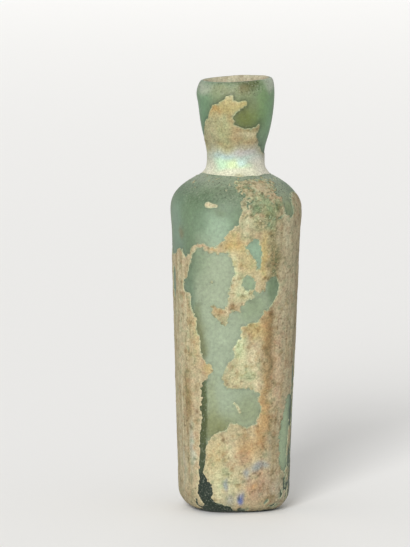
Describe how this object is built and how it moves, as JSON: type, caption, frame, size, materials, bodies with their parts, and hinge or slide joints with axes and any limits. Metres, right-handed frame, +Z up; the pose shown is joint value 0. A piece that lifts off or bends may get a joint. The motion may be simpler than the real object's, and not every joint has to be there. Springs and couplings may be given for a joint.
{
  "type": "glass unguentarium",
  "caption": "Small ancient glass scent flask: soft-square tapering body, round shoulders, pinched neck and wide thick lip, patched with a thin weathering crust.",
  "frame": {"origin": "middle of the foot, on the surface that the flask stands on", "axes": "+Z up the flask to the mouth; the body's flats face -Y (the front), +X, +Y and -X"},
  "size_m": [0.0266, 0.0266, 0.089],
  "materials": {
    "weathered_glass": "blue-green, see-through, frosted by weathering",
    "weathering_crust": "matt beige to gold crust, iridescent in places"
  },
  "bodies": {
    "root": {"glass_flask": "weathered_glass"}
  },
  "joints": []
}
